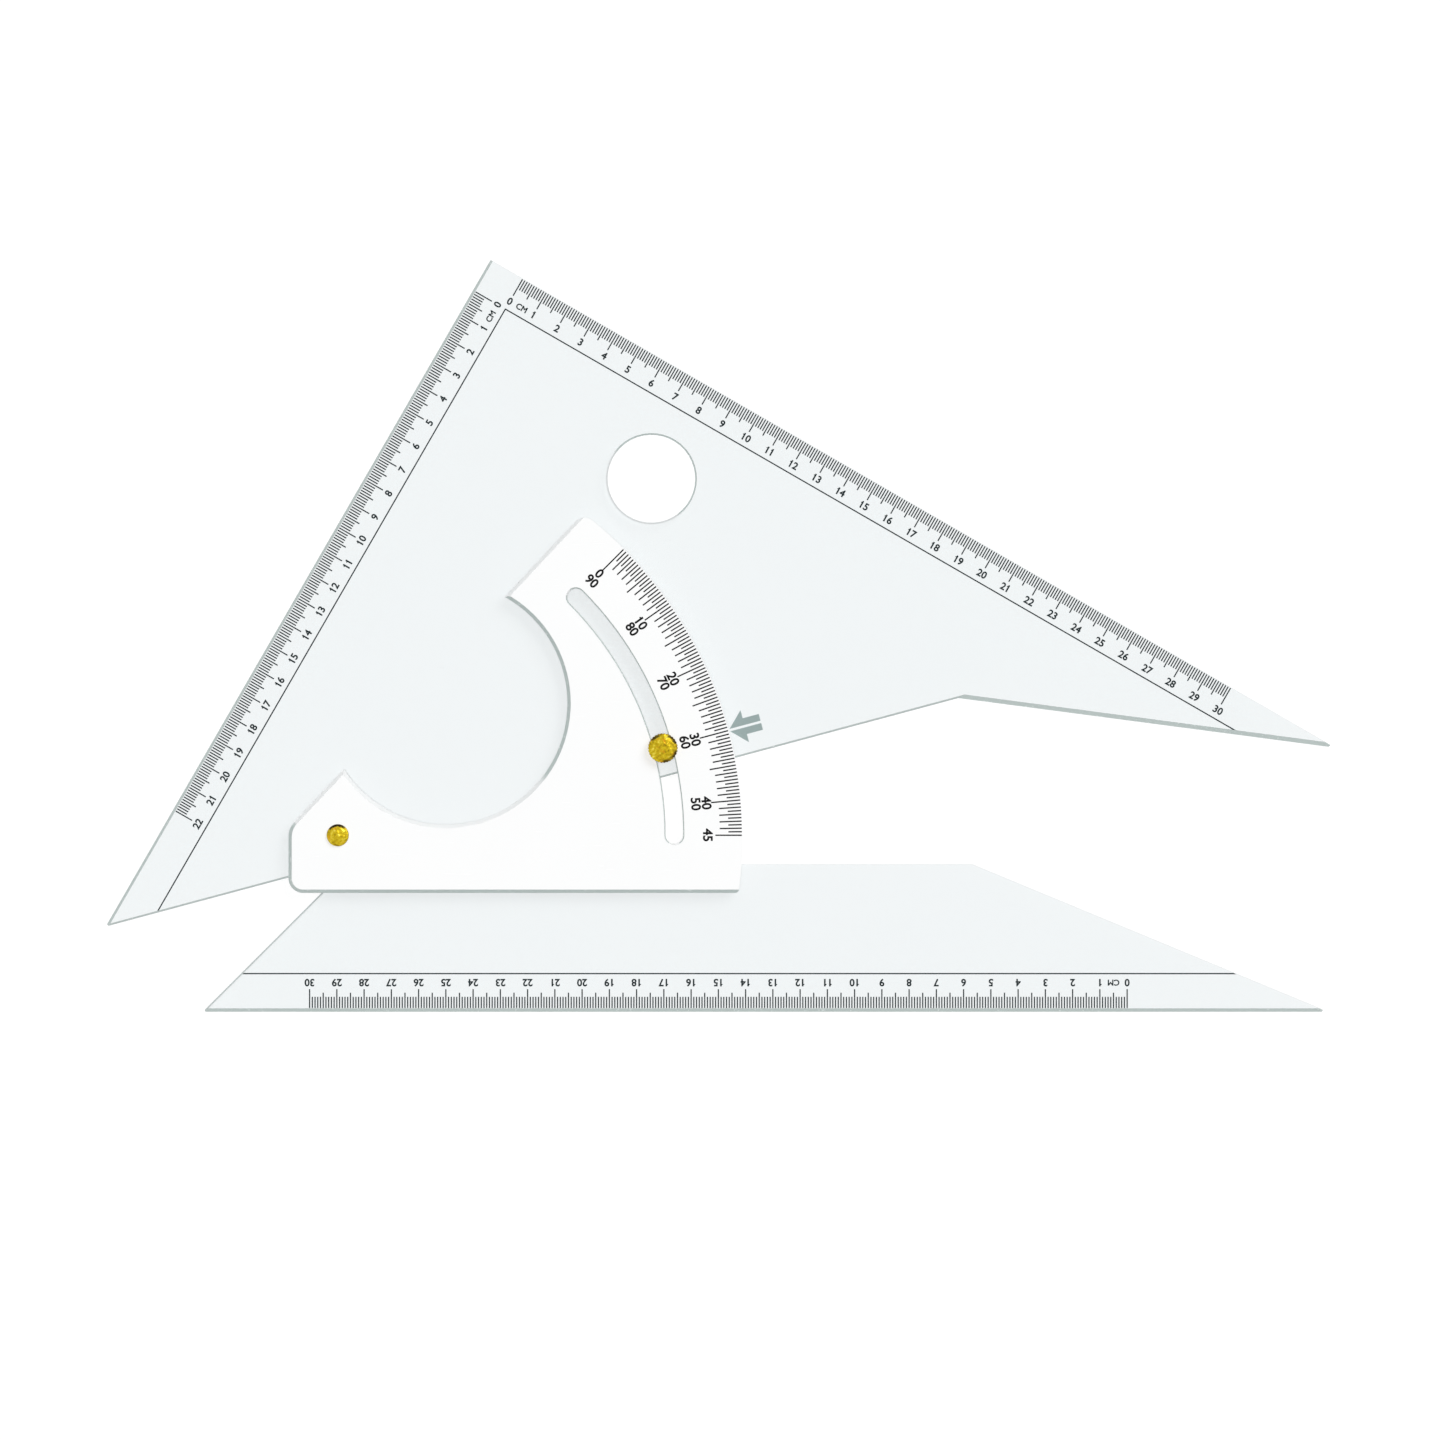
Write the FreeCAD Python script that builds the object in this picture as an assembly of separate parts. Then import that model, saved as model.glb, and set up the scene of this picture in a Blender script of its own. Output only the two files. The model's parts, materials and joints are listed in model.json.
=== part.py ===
"""Adjustable set square: two drafting blades joined at a pivot, read on a quadrant scale.

The base blade carries the quadrant plate. The triangle blade swings under the quadrant
about the pivot, and a clamp through the quadrant's arc slot holds it at the angle read.
Millimetres. X runs along the ruling edge, +Z is up, and the underside lies on Z = 0.
Every piece is drawn about the pivot axis with the square closed. The triangle's pieces
are then turned to the rest opening, and all are moved so that the origin is at the
bottom centre of the whole object's box.
"""
import FreeCAD, Part
import math
import os

from FreeCAD import Vector

# Plates
BLADE_THICKNESS = 3.0
QUADRANT_THICKNESS = 2.5
FILM_THICKNESS = 0.3
BEVEL_HEIGHT = 1.0
RULING_EDGE_BEVEL = 1.3
LEFT_LEG_BEVEL = 1.0
HYPOTENUSE_BEVEL = 0.7
POINT_EDGE_BEVEL = 1.6
BASE_END_BEVEL = 0.55
EASED_EDGE = 0.3
QUADRANT_BEVEL = 1.25
HOLE_BEVEL = 0.6
TIP_ROUND = 0.6

# Triangle blade: how far each edge lies from the pivot axis, and the pointed end's angle
PIVOT_TO_LEFT_LEG = 57.1
PIVOT_TO_RIGHT_LEG = 210.7
PIVOT_TO_HYPOTENUSE = 10.35
PIVOT_TO_POINT_EDGE = 79.5
POINT_ANGLE = 22.5
REST_OPENING = 15.0
FULL_OPENING = 45.0

# Finger hole, placed from the two legs' edges
FINGER_HOLE_RADIUS = 16.1
FINGER_HOLE_FROM_LEFT_LEG = 91.2
FINGER_HOLE_FROM_RIGHT_LEG = 40.1

# Base blade
PIVOT_TO_RULING_EDGE = 64.8

# Quadrant plate
QUADRANT_RADIUS = 148.3
QUADRANT_LEFT_DISTANCE = 18.1
QUADRANT_LAP_ON_BASE = 10.5
QUADRANT_BACK_DISTANCE = 15.0
QUADRANT_BACK_ANGLE = 46.9
QUADRANT_LOW_CORNER = 5.3
QUADRANT_BACK_CORNER = 7.9
QUADRANT_TOP_CORNER = 4.8
QUADRANT_HEEL_CORNER = 1.5
WINDOW_RADIUS = 44.5
WINDOW_DISTANCE = 62.5
WINDOW_DIRECTION = 50.7

# Arc slot and clamp
SLOT_INSET = 25.0
SLOT_WIDTH = 6.5
SLOT_BEVEL = 0.4
CLAMP_BOLT_RADIUS = 2.0
CLAMP_HEAD_FLATS = 7.0
CLAMP_HEAD_THICKNESS = 1.4
SLOT_BUSH_WALL = 1.0
CLAMP_WASHER_RADIUS = 5.0
CLAMP_WASHER_THICKNESS = 0.5
KNOB_RADIUS = 5.45
KNOB_RIM_HEIGHT = 2.1
KNOB_DOME_HEIGHT = 1.3
KNOB_FLUTES = 30
KNOB_FLUTE_RADIUS = 0.3
KNOB_THREAD_DEPTH = 2.5

# Pivot
POST_RADIUS = 2.5
POST_SPIGOT_RADIUS = 2.0
POST_FLANGE_RADIUS = 5.0
POST_FLANGE_THICKNESS = 1.0
PIVOT_SCREW_RADIUS = 1.25
PIVOT_SCREW_DEPTH = 4.6
PIVOT_HEAD_RADIUS = 4.05
PIVOT_HEAD_RIM = 0.4
PIVOT_HEAD_DOME = 1.4
PIVOT_WASHER_RADIUS = 3.7
PIVOT_WASHER_THICKNESS = 0.3
PIVOT_BUSH_WALL = 1.0
SLIP_WASHER_THICKNESS = 0.25
SLIP_WASHER_BAND = 1.7

# Clearances
BLADE_GAP = 0.3
RUNNING_GAP = 0.05
FITTED_GAP = 0.05
SLOT_GAP = 0.1
UNDERSIDE_SINK = 0.15
SPIGOT_STANDBACK = 0.2
THREAD_END_GAP = 0.3
TOLERANCE = 1e-4

# The clamp's path, kept back from the quadrant's scale edge
SLOT_RADIUS = QUADRANT_RADIUS - SLOT_INSET

# Levels above the surface that the square lies on
BLADE_TOP = BLADE_THICKNESS
QUADRANT_BOTTOM = BLADE_TOP + FILM_THICKNESS
QUADRANT_TOP = QUADRANT_BOTTOM + QUADRANT_THICKNESS
FLANGE_TOP = UNDERSIDE_SINK + POST_FLANGE_THICKNESS
PIVOT_POCKET_DEPTH = FLANGE_TOP + RUNNING_GAP
CLAMP_HEAD_TOP = UNDERSIDE_SINK + CLAMP_HEAD_THICKNESS
PIVOT_WASHER_TOP = QUADRANT_TOP + PIVOT_WASHER_THICKNESS
CLAMP_WASHER_BOTTOM = QUADRANT_TOP + RUNNING_GAP
CLAMP_WASHER_TOP = CLAMP_WASHER_BOTTOM + CLAMP_WASHER_THICKNESS
KNOB_BOTTOM = CLAMP_WASHER_TOP + RUNNING_GAP
SLOT_BUSH_TOP = QUADRANT_TOP - SPIGOT_STANDBACK

# Edges as (direction of the outward normal, distance of the edge from the pivot axis).
# The closed triangle lies on the base blade's two upper edges with the blade gap between.
POINT_EDGE_NORMAL = 90.0 - POINT_ANGLE
BASE_TOP = -(PIVOT_TO_HYPOTENUSE + BLADE_GAP)
BASE_EDGES = [
    (-90.0, PIVOT_TO_RULING_EDGE),
    (POINT_EDGE_NORMAL, PIVOT_TO_POINT_EDGE - BLADE_GAP),
    (90.0, BASE_TOP),
    (90.0 + FULL_OPENING, BASE_TOP),
]
BASE_BEVELS = [RULING_EDGE_BEVEL, EASED_EDGE, EASED_EDGE, BASE_END_BEVEL]
TRIANGLE_EDGES = [
    (45.0, PIVOT_TO_RIGHT_LEG),
    (135.0, PIVOT_TO_LEFT_LEG),
    (270.0, PIVOT_TO_HYPOTENUSE),
    (180.0 + POINT_EDGE_NORMAL, -PIVOT_TO_POINT_EDGE),
]
TRIANGLE_BEVELS = [EASED_EDGE, LEFT_LEG_BEVEL, HYPOTENUSE_BEVEL, POINT_EDGE_BEVEL]
QUADRANT_LOW_DISTANCE = QUADRANT_LAP_ON_BASE - BASE_TOP
QUADRANT_EDGES = [
    (180.0, QUADRANT_LEFT_DISTANCE),
    (270.0, QUADRANT_LOW_DISTANCE),
    (0.0, 2 * QUADRANT_RADIUS),
    (90.0 + QUADRANT_BACK_ANGLE, QUADRANT_BACK_DISTANCE),
]


def polar(radius, angle, level=0.0):
    """A point at a radius and an angle in degrees about the pivot axis."""
    turn = math.radians(angle)
    return Vector(radius * math.cos(turn), radius * math.sin(turn), level)


def corner(edge, following):
    """Where two edges of an outline cross."""
    (angle, reach), (next_angle, next_reach) = edge, following
    spread = math.radians(next_angle - angle)
    along = (next_reach - reach * math.cos(spread)) / math.sin(spread)
    return polar(reach, angle) + polar(along, angle + 90.0)


def corners(edges):
    """The corners of an outline, the first between its first and second edges."""
    return [corner(edge, edges[(place + 1) % len(edges)]) for place, edge in enumerate(edges)]


def flat_face(points):
    return Part.Face(Part.makePolygon(points + points[:1]))


def stack(levels):
    """A solid with straight-edged outlines, each given with the level that it lies on."""
    rings = [[Vector(point.x, point.y, level) for point in outline] for outline, level in levels]
    faces = [flat_face(rings[0]), flat_face(rings[-1])]
    for lower, upper in zip(rings, rings[1:]):
        for place in range(len(lower)):
            beside = (place + 1) % len(lower)
            faces.append(flat_face([lower[place], lower[beside], upper[beside], upper[place]]))
    return Part.makeSolid(Part.makeShell(faces))


def prism(points, bottom, thickness):
    """An upright solid on a straight-edged outline."""
    raised = [Vector(point.x, point.y, bottom) for point in points]
    return flat_face(raised).extrude(Vector(0, 0, thickness))


def disc(radius, bottom, thickness, centre=Vector()):
    """A round solid standing on a level."""
    return Part.makeCylinder(radius, thickness, Vector(centre.x, centre.y, bottom))


def ring(outer, inner, bottom, thickness, centre=Vector()):
    """A washer or bush."""
    return disc(outer, bottom, thickness, centre).cut(disc(inner, bottom, thickness, centre))


def dome(radius, bottom, height, centre):
    """A low cap of a ball standing on a level."""
    ball = (radius ** 2 + height ** 2) / (2 * height)
    middle = Vector(centre.x, centre.y, bottom + height - ball)
    return Part.makeSphere(ball, middle).common(disc(radius, bottom, height, centre))


def upright_edges(solid):
    """The edges that run straight up."""
    return [
        edge for edge in solid.Edges
        if edge.BoundBox.XLength < TOLERANCE and edge.BoundBox.YLength < TOLERANCE
    ]


def round_corner(solid, place, radius):
    """Round the upright edge nearest to a place in plan."""
    def distance(edge):
        return math.hypot(edge.BoundBox.XMin - place.x, edge.BoundBox.YMin - place.y)
    return solid.makeFillet(radius, [min(upright_edges(solid), key=distance)])


def top_edges(solid):
    """The edges in a solid's top plane."""
    top = solid.BoundBox.ZMax
    return [edge for edge in solid.Edges if edge.BoundBox.ZMin > top - TOLERANCE]


def pivot_distance(point):
    return math.hypot(point.x, point.y)


def keeps_radius(edge, radius):
    """Whether an edge is an arc of a radius about the pivot axis."""
    middle = edge.valueAt((edge.FirstParameter + edge.LastParameter) / 2)
    return abs(pivot_distance(middle) - radius) < TOLERANCE


def blade(edges, bevels):
    """A blade with rounded tips, each upper edge sloped back by its own bevel."""
    outline = corners(edges)
    sloped = corners([(angle, reach - bevel) for (angle, reach), bevel in zip(edges, bevels)])
    slope_foot = BLADE_TOP - BEVEL_HEIGHT
    rounded = prism(outline, 0.0, BLADE_THICKNESS)
    rounded = rounded.makeFillet(TIP_ROUND, upright_edges(rounded))
    return stack([(outline, 0.0), (outline, slope_foot), (sloped, BLADE_TOP)]).common(rounded)


def flared_hole(radius, bevel, bottom, top, centre):
    """The tool that cuts a round hole with a bevelled upper rim."""
    flare = Part.makeCone(radius, radius + bevel, bevel, Vector(centre.x, centre.y, top - bevel))
    return disc(radius, bottom, top - bottom, centre).fuse(flare)


def arc_slot(bottom, height):
    """The tool that cuts the arc slot, from the closed to the fully open angle."""
    half = SLOT_WIDTH / 2
    level = Vector(0, 0, bottom)
    up = Vector(0, 0, 1)
    outer = Part.makeCylinder(SLOT_RADIUS + half, height, level, up, FULL_OPENING)
    inner = Part.makeCylinder(SLOT_RADIUS - half, height, level, up, FULL_OPENING)
    ends = [disc(half, bottom, height, polar(SLOT_RADIUS, angle)) for angle in (0.0, FULL_OPENING)]
    return outer.cut(inner).multiFuse(ends).removeSplitter()


def quadrant_sector(bottom, thickness):
    """The quadrant's outline as a plain solid, its scale edge meeting the straight edges square."""
    low_left, heel, top, back = corners(QUADRANT_EDGES)
    sector = prism([low_left, heel, top, back], bottom, thickness)
    sector = sector.common(disc(QUADRANT_RADIUS, bottom, thickness))
    sector = round_corner(sector, low_left, QUADRANT_LOW_CORNER)
    return round_corner(sector, back, QUADRANT_BACK_CORNER)


def quadrant_outline(bottom, thickness):
    """The quadrant's outline as a plain solid with every corner rounded."""
    across = math.sqrt(QUADRANT_RADIUS ** 2 - QUADRANT_LOW_DISTANCE ** 2)
    back_turn = math.degrees(math.acos(QUADRANT_BACK_DISTANCE / QUADRANT_RADIUS))
    tip = polar(QUADRANT_RADIUS, 90.0 + QUADRANT_BACK_ANGLE - back_turn)
    sector = round_corner(quadrant_sector(bottom, thickness), tip, QUADRANT_TOP_CORNER)
    return round_corner(sector, Vector(across, -QUADRANT_LOW_DISTANCE), QUADRANT_HEEL_CORNER)


def base_blade():
    return blade(BASE_EDGES, BASE_BEVELS)


def bonding_film():
    """The adhesive film that holds the quadrant on the base and sets the running gap."""
    flat_top = [(angle, reach - bevel) for (angle, reach), bevel in zip(BASE_EDGES, BASE_BEVELS)]
    lap = prism(corners(flat_top), BLADE_TOP, FILM_THICKNESS)
    return quadrant_outline(BLADE_TOP, FILM_THICKNESS).common(lap)


def quadrant_plate():
    """The scale plate with its slot, window and pivot hole. Its scale edge has no bevel."""
    plate = quadrant_sector(QUADRANT_BOTTOM, QUADRANT_THICKNESS)
    straight = [edge for edge in top_edges(plate) if not keeps_radius(edge, QUADRANT_RADIUS)]
    plate = plate.makeChamfer(QUADRANT_BEVEL, straight)
    plate = plate.common(quadrant_outline(QUADRANT_BOTTOM, QUADRANT_THICKNESS))
    plate = plate.cut(arc_slot(QUADRANT_BOTTOM, QUADRANT_THICKNESS))
    slot_rims = [
        edge for edge in top_edges(plate)
        if abs(pivot_distance(edge.CenterOfMass) - SLOT_RADIUS) < SLOT_WIDTH
    ]
    plate = plate.makeChamfer(SLOT_BEVEL, slot_rims)
    window = polar(WINDOW_DISTANCE, WINDOW_DIRECTION)
    plate = plate.cut(flared_hole(WINDOW_RADIUS, QUADRANT_BEVEL, QUADRANT_BOTTOM, QUADRANT_TOP, window))
    spigot_hole = POST_SPIGOT_RADIUS + FITTED_GAP
    return plate.cut(disc(spigot_hole, QUADRANT_BOTTOM, QUADRANT_THICKNESS))


def pivot_post():
    """The flanged post, its shoulder under the quadrant and its spigot through it."""
    flange = disc(POST_FLANGE_RADIUS, UNDERSIDE_SINK, POST_FLANGE_THICKNESS)
    barrel = disc(POST_RADIUS, FLANGE_TOP, QUADRANT_BOTTOM - FLANGE_TOP)
    spigot = disc(POST_SPIGOT_RADIUS, QUADRANT_BOTTOM, QUADRANT_THICKNESS - SPIGOT_STANDBACK)
    post = flange.multiFuse([barrel, spigot]).removeSplitter()
    depth = PIVOT_SCREW_DEPTH + THREAD_END_GAP
    return post.cut(disc(PIVOT_SCREW_RADIUS, PIVOT_WASHER_TOP - depth, depth))


def pivot_screw():
    """The domed screw that pulls the post up against the quadrant."""
    shank = disc(PIVOT_SCREW_RADIUS, PIVOT_WASHER_TOP - PIVOT_SCREW_DEPTH, PIVOT_SCREW_DEPTH)
    rim = disc(PIVOT_HEAD_RADIUS, PIVOT_WASHER_TOP, PIVOT_HEAD_RIM)
    cap = dome(PIVOT_HEAD_RADIUS, PIVOT_WASHER_TOP + PIVOT_HEAD_RIM, PIVOT_HEAD_DOME, Vector())
    return shank.multiFuse([rim, cap]).removeSplitter()


def pivot_washer():
    inner = PIVOT_SCREW_RADIUS + FITTED_GAP
    return ring(PIVOT_WASHER_RADIUS, inner, QUADRANT_TOP, PIVOT_WASHER_THICKNESS)


def triangle_blade():
    """The swinging blade with its finger hole and the pockets of the pivot and clamp."""
    body = blade(TRIANGLE_EDGES, TRIANGLE_BEVELS)
    hole = finger_hole_centre()
    body = body.cut(flared_hole(FINGER_HOLE_RADIUS, HOLE_BEVEL, 0.0, BLADE_TOP, hole))
    body = body.cut(disc(POST_FLANGE_RADIUS + BLADE_GAP, 0.0, PIVOT_POCKET_DEPTH))
    body = body.cut(disc(pivot_bush_radius(), 0.0, BLADE_THICKNESS))
    body = body.cut(hexagon(CLAMP_HEAD_FLATS / 2 + FITTED_GAP, 0.0, CLAMP_HEAD_TOP))
    return body.cut(disc(CLAMP_BOLT_RADIUS + FITTED_GAP, 0.0, BLADE_THICKNESS, polar(SLOT_RADIUS, 0.0)))


def finger_hole_centre():
    from_right_leg = polar(PIVOT_TO_RIGHT_LEG - FINGER_HOLE_FROM_RIGHT_LEG, 45.0)
    return from_right_leg + polar(PIVOT_TO_LEFT_LEG - FINGER_HOLE_FROM_LEFT_LEG, 135.0)


def pivot_bush_radius():
    return POST_RADIUS + RUNNING_GAP + PIVOT_BUSH_WALL


def pivot_bush():
    """The brass bush pressed into the triangle, which turns on the post."""
    length = BLADE_THICKNESS - PIVOT_POCKET_DEPTH
    return ring(pivot_bush_radius(), POST_RADIUS + RUNNING_GAP, PIVOT_POCKET_DEPTH, length)


def pivot_slip_washer():
    inner = POST_RADIUS + RUNNING_GAP
    return ring(inner + SLIP_WASHER_BAND, inner, BLADE_TOP, SLIP_WASHER_THICKNESS)


def hexagon(inner_radius, bottom, thickness):
    """A hexagon about the clamp axis."""
    edges = [(60.0 * side, inner_radius) for side in range(6)]
    centre = polar(SLOT_RADIUS, 0.0)
    return prism([point + centre for point in corners(edges)], bottom, thickness)


def clamp_bolt():
    """The bolt whose hexagon head is sunk in the triangle's underside."""
    centre = polar(SLOT_RADIUS, 0.0)
    head = hexagon(CLAMP_HEAD_FLATS / 2, UNDERSIDE_SINK, CLAMP_HEAD_THICKNESS)
    length = KNOB_BOTTOM + KNOB_THREAD_DEPTH - CLAMP_HEAD_TOP
    return head.fuse(disc(CLAMP_BOLT_RADIUS, CLAMP_HEAD_TOP, length, centre)).removeSplitter()


def slot_bush_radius():
    return SLOT_WIDTH / 2 - SLOT_GAP


def slot_bush():
    """The collar on the bolt that guides it along the slot."""
    inner = CLAMP_BOLT_RADIUS + FITTED_GAP
    centre = polar(SLOT_RADIUS, 0.0)
    return ring(slot_bush_radius(), inner, BLADE_TOP, SLOT_BUSH_TOP - BLADE_TOP, centre)


def clamp_slip_washer():
    inner = slot_bush_radius() + FITTED_GAP
    centre = polar(SLOT_RADIUS, 0.0)
    return ring(inner + SLIP_WASHER_BAND, inner, BLADE_TOP, SLIP_WASHER_THICKNESS, centre)


def clamp_washer():
    inner = CLAMP_BOLT_RADIUS + FITTED_GAP
    centre = polar(SLOT_RADIUS, 0.0)
    return ring(CLAMP_WASHER_RADIUS, inner, CLAMP_WASHER_BOTTOM, CLAMP_WASHER_THICKNESS, centre)


def clamp_knob():
    """The fluted round nut with a domed top."""
    centre = polar(SLOT_RADIUS, 0.0)
    rim = disc(KNOB_RADIUS, KNOB_BOTTOM, KNOB_RIM_HEIGHT, centre)
    cap = dome(KNOB_RADIUS, KNOB_BOTTOM + KNOB_RIM_HEIGHT, KNOB_DOME_HEIGHT, centre)
    flutes = [
        disc(KNOB_FLUTE_RADIUS, KNOB_BOTTOM, KNOB_RIM_HEIGHT + KNOB_DOME_HEIGHT,
             centre + polar(KNOB_RADIUS, 360.0 * place / KNOB_FLUTES))
        for place in range(KNOB_FLUTES)
    ]
    depth = KNOB_THREAD_DEPTH + THREAD_END_GAP
    thread = disc(CLAMP_BOLT_RADIUS + RUNNING_GAP, KNOB_BOTTOM, depth, centre)
    return rim.fuse(cap).removeSplitter().cut(flutes + [thread])


BASE_PIECES = [base_blade, bonding_film, quadrant_plate, pivot_post, pivot_screw, pivot_washer]
TRIANGLE_PIECES = [
    triangle_blade, pivot_bush, pivot_slip_washer, clamp_bolt, slot_bush, clamp_slip_washer,
    clamp_washer, clamp_knob,
]


def assemble():
    """Every piece at the rest opening, with the origin at the box's bottom centre."""
    up = Vector(0, 0, 1)
    pieces = {make.__name__: make() for make in BASE_PIECES}
    for make in TRIANGLE_PIECES:
        pieces[make.__name__] = make().rotated(Vector(), up, REST_OPENING)
    box = Part.makeCompound(list(pieces.values())).optimalBoundingBox(False, False)
    shift = Vector(-box.Center.x, -box.Center.y, -box.ZMin)
    return {name: piece.translated(shift) for name, piece in pieces.items()}


os.makedirs("parts", exist_ok=True)
for name, piece in assemble().items():
    piece.exportStep(f"parts/{name}.step")
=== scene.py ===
import json
import math

import bmesh
import bpy
from mathutils import Matrix, Vector, noise
from mathutils.bvhtree import BVHTree


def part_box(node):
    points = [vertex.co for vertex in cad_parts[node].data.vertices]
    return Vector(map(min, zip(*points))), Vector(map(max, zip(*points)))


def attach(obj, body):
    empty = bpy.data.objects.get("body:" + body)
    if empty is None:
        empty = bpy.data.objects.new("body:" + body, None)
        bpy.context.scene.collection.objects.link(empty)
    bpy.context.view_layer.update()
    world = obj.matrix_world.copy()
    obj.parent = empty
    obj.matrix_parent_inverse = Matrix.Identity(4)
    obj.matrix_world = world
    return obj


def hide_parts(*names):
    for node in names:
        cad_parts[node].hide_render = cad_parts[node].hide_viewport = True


MM = 0.001
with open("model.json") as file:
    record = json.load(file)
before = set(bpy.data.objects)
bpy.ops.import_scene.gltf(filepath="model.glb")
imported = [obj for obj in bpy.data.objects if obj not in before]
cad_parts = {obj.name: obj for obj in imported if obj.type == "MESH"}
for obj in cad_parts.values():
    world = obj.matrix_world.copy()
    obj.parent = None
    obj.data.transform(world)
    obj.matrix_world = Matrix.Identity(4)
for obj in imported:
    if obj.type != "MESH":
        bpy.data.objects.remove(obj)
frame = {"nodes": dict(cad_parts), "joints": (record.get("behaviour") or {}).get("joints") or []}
bpy.context.view_layer.update()

# Rulers: depths in millimetres, measured inwards from the edge of the flat face
RULE_PITCH = 1.0
RULE_TICK = 4.15
RULE_HALF_TICK = 5.65
RULE_CM_TICK = 6.95
RULE_TICK_WIDTH = 0.45
FIGURE_LINE = 9.3
FIGURE_HEIGHT = 2.6
BORDER_LINE = 12.65
BORDER_WIDTH = 0.46
UNIT_MARK = "CM"
UNIT_HEIGHT = 2.1
UNIT_PLACE = 5.0
LONG_LEG_CM = 30
SHORT_LEG_CM = 22
BASE_CM = 30
BASE_ZERO_FROM_PIVOT = 289.4

# Angle scale: radii in millimetres from the pivot
SCALE_RADIUS = 148.0
SCALE_HALF_TICK = 4.9
SCALE_TICK = 8.1
SCALE_FIVE_TICK = 9.7
SCALE_TEN_TICK = 10.75
SCALE_TICK_WIDTH = 0.5
SCALE_STEPS_PER_DEGREE = 2
SCALE_FIGURE_HEIGHT = 3.38
OUTER_ROW = 135.6
INNER_ROW = 131.7

# How far the slot's bevels reach from its middle line, and how soon the painted shade on them fades beyond
SLOT_REACH = 3.6
SLOT_FADE = 0.5

# Pointer: millimetres along and across the radius that reads the angle
POINTER_TIP = 148.25
POINTER_HEAD = 6.1
POINTER_LENGTH = 12.2
POINTER_HALF_HEAD = 6.1
POINTER_HALF_SHAFT = 3.0
POINTER_HALF_SPLIT = 0.45

# Ink stands a little proud of where it is printed and is keyed into it by a hair. The rulers
# are printed on the underside of the blades, so that they lie on the work, and the angle
# scale on top of the opal quadrant.
INK_HEIGHT = 0.04
INK_KEY = 0.005

# Figures: strokes are thickened by a share of the figures' height. The size of the face is that
# height over a digit's share of it, and digits advance and 1 has its flag in shares of the size.
STROKE_GAIN = 0.043
DIGIT_SHARE = 0.7
DIGIT_ADVANCE = 0.5
FLAG = ((0.25, 0.69), (0.2, 0.61), (0.08, 0.56), (0.08, 0.46), (0.25, 0.5))

# Headings of the triangle's legs when it is shut against the base
LONG_LEG_SHUT = 45.0
SHORT_LEG_SHUT = 135.0

# Finding an edge: how far aside of the pivot and how far inside the edge the search starts, and
# how far below the face it runs
SEARCH_ASIDE = 100.0
SEARCH_INSIDE = 20.0
SEARCH_DIP = 0.01
MERGE_DISTANCE = 0.0001

# Brass crowns, in millimetres
KNOB_RIM = 2.1
KNOB_FLUTES = 30
KNOB_FLUTE_DEPTH = 0.22
KNOB_BORE_RADIUS = 2.05
KNOB_BORE_DEPTH = 2.8
SCREW_RIM = 0.4
SCREW_SHANK_RADIUS = 1.25
CROWN_EASE = 0.25
# Headings, in degrees, round each crown at which dark reflections are painted on its rim
KNOB_DARK_REFLECTION_TURNS = (42.0, 125.0, 285.0, 330.0)
SCREW_DARK_REFLECTION_TURNS = (62.0, 95.0, 125.0)
DENT_SIZE = 1.5
DENT_DEPTH = 0.16
CROWN_SEGMENTS = 180
CROWN_RINGS = 30

# Shares of a brass head's radius: where its crown starts, where beating starts and where flutes
# start. A dent reaches over a share of the dents' spacing.
CROWN_SHARE = 0.985
BEATEN_SHARE = 0.94
FLUTE_SHARE = 0.9
DENT_REACH = 0.6

# View and light
VIEW_WIDTH = 0.5279
VIEW_DISTANCE = 3.0
VIEW_CENTRE = (0.00051, -0.0308)
SENSOR = 36.0
FLOOR_HALF = 12.0
FLOOR_GAP = 0.00005
FLOOR_GLOW = 0.47
SKY_SHARE = 0.15
OVERHEAD_HEADING = 0.0
OVERHEAD_RISE = 90.0
OVERHEAD_SOFTNESS = 8.0
OVERHEAD_SHARE = 0.69
KEY_HEADING = 45.0
KEY_RISE = 40.0
KEY_SOFTNESS = 35.0
KEY_SHARE = 0.17

joints = {joint["name"]: joint for joint in frame["joints"]}
pivot = Vector(joints["angle_swing"]["pos_m"])
clamp_axis = Vector(joints["clamp_turn"]["pos_m"])
swing_back, swing_on = joints["angle_swing"]["range_deg"]
rest_opening = -swing_back
full_opening = swing_on - swing_back


def heading(angle):
    """The level direction at an angle from +X, in degrees."""
    return Vector((math.cos(math.radians(angle)), math.sin(math.radians(angle)), 0))


class Wire:
    """A socket of a node tree that can stand in sums, as a number can."""

    def __init__(self, graph, socket):
        self.graph = graph
        self.socket = socket

    def __add__(self, other):
        return self.graph.maths("ADD", self, other)

    __radd__ = __add__

    def __sub__(self, other):
        return self.graph.maths("SUBTRACT", self, other)

    def __rsub__(self, other):
        return self.graph.maths("SUBTRACT", other, self)

    def __mul__(self, other):
        return self.graph.maths("MULTIPLY", self, other)

    __rmul__ = __mul__

    def __truediv__(self, other):
        return self.graph.maths("DIVIDE", self, other)

    def __mod__(self, other):
        return self.graph.maths("MODULO", self, other)

    def __lt__(self, other):
        return self.graph.maths("LESS_THAN", self, other)

    def __neg__(self):
        return self.graph.maths("MULTIPLY", self, -1.0)

    def __abs__(self):
        return self.graph.maths("ABSOLUTE", self)

    def sine(self):
        return self.graph.maths("SINE", self)

    def cosine(self):
        return self.graph.maths("COSINE", self)


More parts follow.
